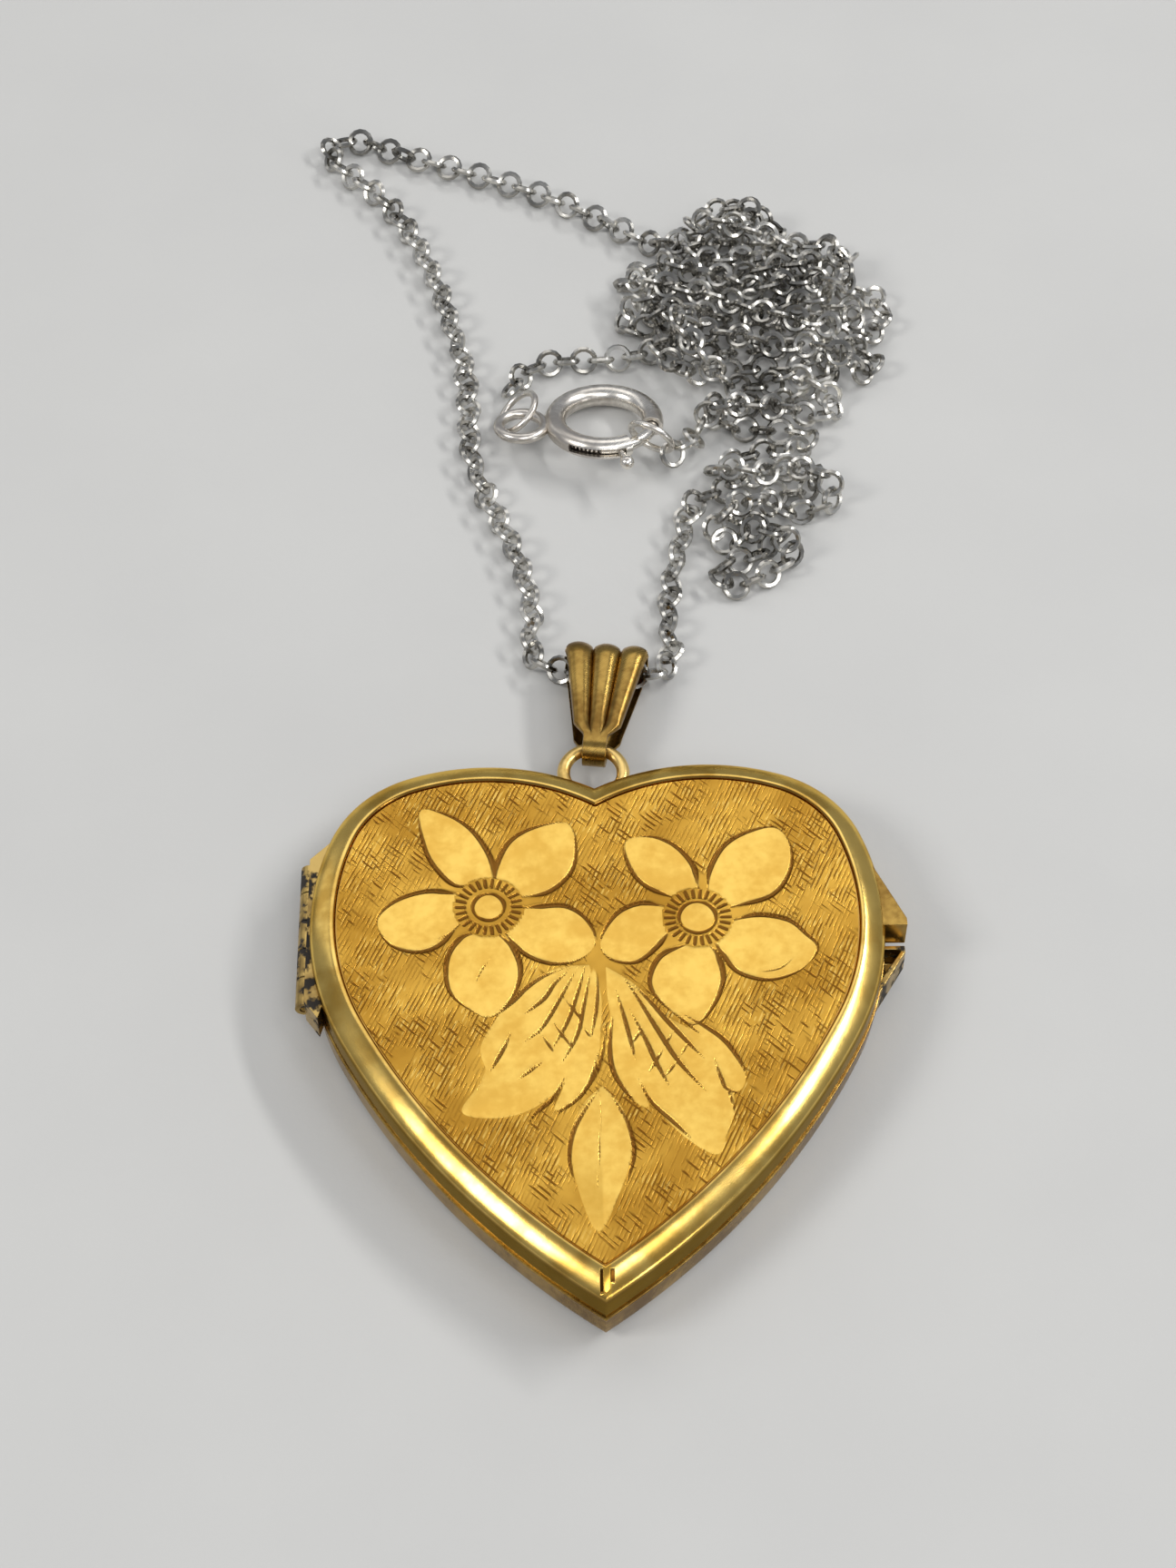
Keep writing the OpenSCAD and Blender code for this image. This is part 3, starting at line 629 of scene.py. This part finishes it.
cuts = [
    (0.11, [(-1.3, 2.3), (-2.3, 1.9), (-3.1, 1.3), (-3.7, 0.6), (-4.4, -0.1)]),
    (0.11, [(-1.2, 2.2), (-1.9, 1.5), (-2.4, 0.7), (-3.3, -0.1)]),
    (0.10, [(-0.9, 2.3), (-1.5, 1.1), (-2.1, -0.1), (-2.6, -0.9), (-3.3, -1.5)]),
    (0.10, [(-0.5, 2.7), (-0.9, 1.1), (-1.4, -0.5), (-2.1, -1.9)]),
    (0.09, [(-2.4, -2.4), (-2.9, -2.8), (-3.5, -3.3)]),
    (0.10, [(-0.3, 2.4), (-0.7, 0.2), (-1, -1.2), (-1.7, -2.6)]),
    (0.09, [(-0.1, 2.4), (-0.1, 0.5), (-0.4, -1.4)]),
    (0.07, [(-1.5, 0.7), (-0.7, -0.5)]),
    (0.07, [(-2, -0.5), (-1.2, -1.8)]),
    (0.07, [(-2.5, -1.1), (-2, -2)]),
    (0.06, [(-0.7, -0.8), (-0.4, -1.3)]),
    (0.10, [(-3.8, -0.9), (-4.1, -1.7), (-4.7, -2.9)]),
    (0.11, [(-1.5, -3.1), (-2, -4.2), (-2.8, -5), (-3.1, -5.5)]),
    (0.10, [(-0.1, -2), (-0.5, -3.5), (-1.1, -4.4), (-2.1, -5)]),
    (0.11, [(0, -3.7), (-0.8, -5), (-1.25, -6), (-1.4, -7.2), (-1.2, -8.3)]),
    (0.09, [(0.3, -0.2), (0.2, -1.3), (-0.1, -2.8), (-0.9, -4.2), (-2, -5.2)]),
    (0.12, [(0.6, 0), (0.4, -1.8), (0.6, -3.2), (1.5, -4.7)]),
    (0.10, [(0.7, 1.2), (1.1, -0.5), (1.5, -2.5)]),
    (0.11, [(1.3, 0.1), (1.9, -1.3), (2.3, -2.4), (2.9, -3.8)]),
    (0.12, [(0.9, 2), (1.6, 0.8), (2.5, -1), (3.3, -2.5), (4.4, -4)]),
    (0.12, [(1.3, 1.6), (2.1, 0.6), (2.9, -0.5), (3.6, -1.4), (4.4, -2.4)]),
    (0.08, [(3.1, 0), (4.3, -1.2)]),
    (0.12, [(3.5, -0.1), (5.1, -1.3), (5.8, -2.3), (6.2, -3.3)]),
    (0.09, [(4.8, -2.3), (5.1, -3.4), (5.3, -3.9), (5.9, -4.2)]),
    (0.07, [(5.3, -3.8), (5.5, -4.5), (5.6, -5.1)]),
    (0.11, [(1.6, -3.4), (2.1, -4.5), (3.1, -5.6), (3.8, -6.4)]),
    (0.07, [(1.3, -1.7), (1.8, -0.9)]),
    (0.07, [(2, -3.1), (2.7, -1.9)]),
    (0.07, [(2.7, -3.3), (3.2, -2.6)]),
    (0.06, [(2.8, -1.7), (3.1, -1.1)]),
    (0.06, [(3.4, -2.3), (3.7, -1.7)]),
    (0.10, [(0.2, -3.7), (0.7, -4.7), (1.1, -5.6), (1.3, -7), (0.9, -8.6)]),
    (0.05, [(-0.05, -4.2), (-0.1, -6), (-0.25, -8.6)]),
    (0.05, [(-7.2, 3.8), (-6.6, 4.1), (-6.1, 4.5)]),
    (0.05, [(-4.6, 3), (-5.1, 2.2), (-5.4, 1.4)]),
    (0.05, [(8.5, 2.6), (7.9, 2.1), (7, 1.9)]),
]
flowers = [(-4.8, 5.5, 0.62), (4.4, 4.8, 0.74)]


def cut_depth(p, path, width):
    """How far points lie inside one tapered cut: the largest of w(s) - |p - c(s)| over the
    discs that the graver's path is made of."""
    found = np.full(len(p), -0.5)
    near = ((p > path.min(0) - 0.5) & (p < path.max(0) + 0.5)).all(1)
    far = np.hypot(*(p[near, None] - path[None]).transpose(2, 0, 1))
    found[near] = np.maximum((width[None] - far).max(1), -0.5)
    return found


def inside(p, path):
    """Signed distance to a closed outline, positive inside: distance to the nearest edge, with
    the sign from how often a line to the right crosses it."""
    found = np.full(len(p), -0.5)
    near = ((p > path.min(0) - 0.5) & (p < path.max(0) + 0.5)).all(1)
    q = p[near, None]
    a, b = path[None], np.roll(path, -1, 0)[None]
    edge = b - a
    t = np.clip(((q - a) * edge).sum(2) / (edge**2).sum(2), 0, 1)
    far = np.hypot(*(q - a - edge * t[..., None]).transpose(2, 0, 1)).min(1)
    crossed = ((a[..., 1] > q[..., 1]) != (b[..., 1] > q[..., 1])) & (
        q[..., 0] < a[..., 0] + (q[..., 1] - a[..., 1]) * edge[..., 0] / (edge[..., 1] + 1e-12))
    found[near] = np.maximum(np.where(crossed.sum(1) % 2 == 1, far, -far), -0.5)
    return found


def loop_curve(points):
    """Smooth closed curve through the points, from the first one round to itself."""
    line = through([(*q, 0) for q in points + points[:1]], 0.12)[:, :2]
    return line[:-1]


def engraving(x, y):
    """Bright areas, cuts and hatched ground as three fields over the flat face, in mm."""
    p = np.stack([x.ravel(), y.ravel()], 1)
    bright = np.full(len(p), -0.5)
    cut = np.full(len(p), -0.5)
    for shape in petals + leaves:
        outline = loop_curve(shape)
        bright = np.maximum(bright, inside(p, outline))
    for shape in petals:
        outline = through([(*q, 0) for q in shape], 0.06)[:, :2]
        s = np.linspace(0, 1, len(outline))
        ends = np.clip(np.minimum(s, 1 - s) / 0.1, 0.3, 1)
        width = 0.125 * np.abs(np.cos(pi * s)) ** 0.7 * ends + 0.012
        cut = np.maximum(cut, cut_depth(p, outline, width))
    for most, shape in cuts:
        line = through([(*q, 0) for q in shape], 0.06)[:, :2]
        s = np.linspace(0, 1, len(line))
        width = most * np.sin(pi * np.clip(s, 0.02, 0.98)) ** 0.6 * (0.75 + 0.4 * s)
        cut = np.maximum(cut, cut_depth(p, line, width))
    ground = np.clip(-bright / 0.04 + 0.5, 0, 1)
    for cx, cy, r in flowers:
        away = np.hypot(p[:, 0] - cx, p[:, 1] - cy)
        ground *= np.clip((away - 2.2) / 0.5, 0, 1)
        a = np.arctan2(p[:, 1] - cy, p[:, 0] - cx)
        tick = 0.085 - np.abs((a * 13 / pi + 0.5) % 1 - 0.5) * pi / 13 * away
        tick = np.minimum(tick, np.minimum(away - 0.98, 1.52 - away))
        ring = 0.08 - np.abs(away - r - 0.08) + 0.02 * np.sin(3 * a)
        in_ring = away < 1.55
        bright = np.where(in_ring, r - away, bright)
        cut = np.where(in_ring, np.maximum(tick, ring), cut)
    ground *= np.clip((np.hypot(p[:, 0] - 0.1, (p[:, 1] - 2.6) * 0.8) - 0.9) / 0.4, 0, 1)
    return bright, np.maximum(cut, -0.5), ground


def cover_relief(bright, cut, ground):
    """Height of the field: bright areas 0.02 low and up to 0.02 hollow, cuts up to 0.05 deep,
    hatched ground 0.006 low."""
    hollow = -0.02 * np.clip(bright / 0.12 + 0.5, 0, 1) - 0.02 * np.clip(bright / 0.8, 0, 1) ** 0.7
    return hollow - 0.05 * np.clip(cut / 0.1, 0, 1) - 0.006 * ground


bevel = through([(0, 3.2, 0), (0.02, 3.36, 0), (0.09, 3.49, 0), (0.25, 3.63, 0), (0.5, 3.79, 0),
                 (0.78, 3.93, 0), (0.98, 3.995, 0), (1.07, 4, 0), (1.13, 3.97, 0),
                 (1.165, 3.86, 0)], 0.085)
cover_section = [(0.02, 2.02), (0, 2.05), (0, 2.4), (0, 2.8)] + [(d, z) for d, z, _ in bevel] \
    + [(1.18, 3.82), (1.55, 3.82), (1.55, 3.55), (1.0, 3.55), (0.45, 3.4), (0.35, 3.15),
       (0.35, 2.02)]
field_points, field_faces, (fx, fy) = heart_field(1.24, 3.6, 3.9, 300, 270)
border_points, border_faces = heart_band(cover_section)
bright, cut, ground = engraving(fx, fy)
field_points[:fx.size, 2] += cover_relief(bright, cut, ground)
rest = len(field_points) - len(bright)
border_n = border_points.shape[0] * border_points.shape[1]
border_inset = np.repeat([inset for inset, z in cover_section], border_points.shape[1])
marks = {"bright": np.r_[bright, np.full(rest + border_n, -0.5)],
         "cut": np.r_[cut, np.full(rest + border_n, -0.5)],
         "ground": np.r_[ground, np.zeros(rest + border_n)],
         "inset": np.r_[np.full(len(bright) + rest, 3.0), border_inset]}

place, fill = new_finish("engraved_gold")
mark = {name: place.node("ShaderNodeAttribute", {"attribute_name": name}, out=2) for name in marks}
cut_in = mark["cut"].between(-0.02, 0.04)
bright_in = mark["bright"].between(-0.02, 0.03)
wide = place.clouds(0.004, 3)
fine = place.clouds(0.00035, 3)
patches = place.clouds(0.0016, 2)


def strokes(turn, pitch, length, cover):
    """Parallel graver strokes: a sine across them, kept only where noise stretched along
    them is high."""
    along = place.node("ShaderNodeMapping", {"vector_type": "TEXTURE"},
                       {"Vector": place, "Rotation": (0, 0, turn), "Scale": (length, pitch, 1)})
    wander = place.clouds(0.003, 1) * 0.5
    across = along.node("ShaderNodeSeparateXYZ", {}, {"Vector": along}, 1)
    phase = (across + wander) * (2 * pi)
    wave = phase.maths("SINE", phase)
    keep = along.node("ShaderNodeTexNoise", {"noise_dimensions": "2D"},
                      {"Vector": along, "Scale": 1.0, "Detail": 1.0})
    return wave.between(-0.2, 0.7) * keep.between(cover, cover + 0.1)


steep = strokes(radians(66), 0.00019, 0.0016, 0.42) * (patches.between(0.38, 0.60) * 0.6 + 0.25)
slant = strokes(radians(-44), 0.00024, 0.0012, 0.50) * place.clouds(0.0022, 2).between(0.44, 0.54)
hatch = steep.maths("MAXIMUM", steep, slant) * mark["ground"]
field = mark["inset"].between(1.2, 1.3)
base = wide.between(0.35, 0.65).blended((0.70, 0.40, 0.062), (0.47, 0.24, 0.03))
wear = wide * 0.3 + fine * 0.2 + place.clouds(0.0011, 4, (1, 1, 1), 1.2) * 0.5
lit = wear.between(0.36, 0.62).blended((0.93, 0.62, 0.14), (0.79, 0.47, 0.085))
rubbed = wide * 0.5 + place.clouds(0.0014, 4) * 0.5
rim = rubbed.between(0.42, 0.62).blended((0.84, 0.58, 0.16), (0.56, 0.34, 0.07))
# Painted shade: the cover's straight outer wall is blended towards dark brown, standing in for the
# shaded table beside it that it reflects.
painted_wall_shade = 1 - mark["inset"].between(0.0, 0.10)
rim = (painted_wall_shade * 0.88).blended(rim, (0.12, 0.068, 0.02))
colour = field.blended(rim, base)
colour = (bright_in * field).blended(colour, lit)
# Painted highlight: short bright strokes over the hatched ground stand in for glints on its lit
# ridges.
painted_ridge_glint = strokes(radians(66), 0.00021, 0.0007, 0.50) * mark["ground"] * patches.between(0.42, 0.6)
colour = (painted_ridge_glint * 0.55).blended(colour, (0.95, 0.66, 0.17))
colour = (hatch * 0.9).blended(colour, (0.20, 0.08, 0.01))
colour = (cut_in * 0.92).blended(colour, (0.17, 0.065, 0.01))
here_x, here_y = (place.node("ShaderNodeSeparateXYZ", {}, {"Vector": place}, k) for k in (0, 1))


def slit(x, y0, y1, half):
    """1 inside a narrow strip along Y at x, half wide to each side, from y0 to y1, in metres."""
    off = here_x - x
    side = off.maths("ABSOLUTE", off)
    soft_end = 0.0001
    return (1 - side.between(half * 0.6, half)) * here_y.between(y0, y0 + soft_end) \
        * (1 - here_y.between(y1 - soft_end, y1))


# Painted shade: the fine groove inside the border is blended towards dark brown.
painted_groove_shade = mark["inset"].between(1.02, 1.10) * (1 - field)
colour = (painted_groove_shade * 0.7).blended(colour, (0.24, 0.11, 0.015))
shaded_leaf = (1 - here_x.between(-0.00012, 0.00003)) * here_x.between(-0.0015, -0.0011) \
    * here_y.between(-0.0118, -0.0090) * (1 - here_y.between(-0.0088, -0.0062))
colour = (shaded_leaf * bright_in * 0.45).blended(colour, (0.60, 0.34, 0.05))
tongue = slit(0.00006, -0.0134, -0.0121, 0.00022)
slits = slit(-0.00017, -0.0133, -0.0123, 0.00008) + slit(0.00028, -0.0129, -0.0123, 0.00010)
colour = tongue.blended(colour, (0.86, 0.50, 0.08))
colour = slits.blended(colour, (0.10, 0.04, 0.005))
height = fine * 0.08 - hatch * 0.9 - cut_in * 1.2 - slits * 2
engraved_finish = fill(
    Base_Color=colour, Metallic=1.0, Specular_Tint=(0.95, 0.80, 0.50),
    Roughness=field * 0.16 + fine * 0.10 + wide * 0.12 + hatch * 0.1 + 0.10,
    Normal=height.dents(0.00003, 0.8))
cover = new_piece("engraved_cover", [(field_points, field_faces), (border_points, border_faces)],
                  engraved_finish, "cover", 38, marks)
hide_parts("front_shell")

# ---- The back shell ------------------------------------------------------------------
# The same heart stamped plain: rounded border round a flat polished plate, rubbed by wear, its gold
# darkened overall as painted shade.
back_section = [(0, 1.98), (-0.05, 1.96), (-0.07, 1.90), (-0.05, 1.82), (0, 1.77), (0, 1.2)] \
    + [(d, 4 - z) for d, z, _ in bevel if z < 3.96] \
    + [(0.95, 0.02), (1.2, 0.03), (1.55, 0.03), (1.55, 0.35), (1.0, 0.35), (0.45, 0.6),
       (0.35, 0.85), (0.35, 1.98)]
back_plate = heart_field(1.0, 0.0, 0.3, 60, 40)[:2]
back = new_piece("back_shell_plain", [back_plate, heart_band(back_section)], gold_finish,
                 "back_half", 38)
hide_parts("back_shell")

# ---- Hinge, catch and lug ------------------------------------------------------------
# Five gold knuckles on a pin, on two bearer strips; two hollow thumb nibs; a cast ring.
hinge_x, hinge_y0, hinge_z, knuckle_l = -12.902, 1.45, 2, 1.5


def turned(profile, around=40):
    """A closed section of (radius, y) turned about the hinge's line."""
    a = np.arange(around)[:, None] * 2 * pi / around
    r, y = np.array(profile, float).T
    p = np.stack([hinge_x + r * np.cos(a), y + 0 * a, hinge_z + r * np.sin(a)], -1)
    return p, closed_faces(around, len(profile))


place, fill = new_finish("hinge_gold_with_grime")
spread = place.clouds(0.0011, 4)
packed_dirt = (place.clouds(0.0005, 3) * 0.6 + spread * 0.4).between(0.50, 0.56)
old_gold = spread.between(0.35, 0.65).blended((0.52, 0.36, 0.12), (0.26, 0.17, 0.06))
hinge_finish = fill(
    Base_Color=packed_dirt.blended(old_gold, (0.018, 0.013, 0.008)),
    Metallic=1 - packed_dirt, Roughness=packed_dirt * 0.4 + spread * 0.2 + 0.22,
    Normal=(packed_dirt + place.clouds(0.0002, 2) * 0.3).dents(0.00003, 0.6))

knuckle_gap = 0.02
for i, node in enumerate(("back_knuckle_1", "front_knuckle_1", "back_knuckle_2",
                          "front_knuckle_2", "back_knuckle_3")):
    y0 = hinge_y0 + i * knuckle_l + knuckle_gap
    y1 = hinge_y0 + (i + 1) * knuckle_l - knuckle_gap
    section = [(0.21, y0), (0.39, y0), (0.42, y0 + 0.03), (0.42, y1 - 0.03), (0.39, y1), (0.21, y1)]
    made = new_piece("hinge_" + node[:-2] + node[-1], [turned(section)], hinge_finish,
                     "cover" if i % 2 else "back_half")
    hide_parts(node)
pin = [(0.0001, hinge_y0 + 0.01), (0.12, hinge_y0 + 0.01), (0.18, hinge_y0 + 0.06),
       (0.18, hinge_y0 + 7.44), (0.12, hinge_y0 + 7.49), (0.0001, hinge_y0 + 7.49)]
pin_piece = new_piece("hinge_pin_wire", [turned(pin)], gold_finish, "back_half")
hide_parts("hinge_pin")
tidy_copy("back_hinge_plate", "back_bearer", hinge_finish, "back_half", 0.05)
tidy_copy("front_hinge_plate", "front_bearer", hinge_finish, "cover", 0.05)
tidy_copy("back_thumb_nib", "back_nib", hinge_finish, "back_half", 0.05)
tidy_copy("front_thumb_nib", "front_nib", gold_finish, "cover", 0.05)


def flat_ring(centre, r, half_width, half_height, around=72, ring=20):
    """A ring of oval section lying flat."""
    a = np.arange(around)[:, None] * 2 * pi / around
    b = np.arange(ring)[None] * 2 * pi / ring
    out = r + half_width * np.cos(b)
    return np.stack([out * np.cos(a), out * np.sin(a), half_height * np.sin(b) + 0 * a],
                    -1) + np.array(centre), closed_faces(around, ring)


def lug_foot(rows=16, around=24):
    """The ring's foot: a rounded bar from inside the shell to the ring, its section a
    superellipse that swells a little towards the shell."""
    y = np.linspace(12.3, 13.3, rows)[:, None]
    b = np.arange(around)[None] * 2 * pi / around
    swell = 1 + 0.22 * ((13.3 - y) / 1.0) ** 2
    c, s = np.cos(b), np.sin(b)
    x = 0.62 * swell * np.sign(c) * np.abs(c) ** 0.7 + 0 * y
    z = 1.55 + 0.24 * np.sign(s) * np.abs(s) ** 0.7 + 0 * y
    p = np.stack([x, y + 0 * x, z], -1)
    ends = [p[k:k + 1].mean(1, keepdims=True).repeat(around, 1) for k in (0, -1)]
    p = np.vstack([ends[0], p, ends[1]])
    return p, closed_faces(len(p), around, False)


lug_loop = flat_ring((0, 14.5, 1.55), 1.385, 0.305, 0.27)
lug = new_piece("lug_ring", [lug_loop, lug_foot()], lug_finish, "back_half", 60)
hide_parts("suspension_lug")

# ---- Inside: lip, frames, windows and blank pictures ---------------------------------
# Both halves hold a blank picture under a clear window, kept in by a satin gold frame; the
# back half also has the lip that the cover snaps over.
satin_finish = polished_metal("satin_inner_gold", (0.86, 0.60, 0.22), (0.70, 0.45, 0.14), 0.30)
lip = 0.40
lip_section = [(0.35, 1.2), (0.35, 1.9), (lip, 1.92), (lip, 2.56), (lip + 0.06, 2.62),
               (lip + 0.2, 2.62), (lip + 0.22, 2.56), (lip + 0.22, 1.2)]
back_frame_section = [(0.62, 1.1), (0.62, 1.7), (0.67, 1.75), (1.2, 1.78), (1.7, 1.75),
                      (1.8, 1.65), (1.8, 1.5), (0.95, 1.5), (0.95, 1.1)]
front_frame_section = [(0.35, 3.1), (0.35, 2.8), (0.45, 2.7), (1.1, 2.67), (1.7, 2.7),
                       (1.8, 2.8), (1.8, 2.95), (0.95, 2.95), (0.95, 3.35), (0.75, 3.35)]
snap = new_piece("snap_lip", [heart_band(lip_section)], satin_finish, "back_half")
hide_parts("back_snap_rim")
back_frame = new_piece("back_picture_frame", [heart_band(back_frame_section)], satin_finish,
                       "back_half")
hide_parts("back_photo_frame")
front_frame = new_piece("front_picture_frame", [heart_band(front_frame_section)], satin_finish,
                        "cover")
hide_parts("front_photo_frame")
place, fill = new_finish("clear_window")
window_finish = fill(
    Base_Color=place.clouds(0.004).blended((0.97, 0.98, 0.97), (0.92, 0.93, 0.9)),
    Roughness=place.clouds(0.001, 4) * 0.1 + 0.02, Transmission_Weight=1.0, IOR=1.47)
place, fill = new_finish("blank_picture")
paper_finish = fill(
    Base_Color=place.clouds(0.006, 4).blended((0.80, 0.76, 0.68), (0.70, 0.66, 0.58)),
    Roughness=0.75, Normal=place.clouds(0.0002, 2).dents(0.000005, 0.5))
picture_inset = 0.97
for node, name, z0, z1, finish, body, slot in (
        ("back_photo", "back_picture", 1.1, 1.22, paper_finish, "back_half", "photo"),
        ("front_photo", "front_picture", 3.23, 3.35, paper_finish, "cover", "photo"),
        ("back_window", "back_window_clear", 1.23, 1.49, window_finish, "back_half", "window"),
        ("front_window", "front_window_clear", 2.96, 3.22, window_finish, "cover", "window")):
    sheet = heart_field(picture_inset, z0, z1, 60, 40)[:2]
    made = new_piece(name, [sheet], finish, body)
    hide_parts(node)
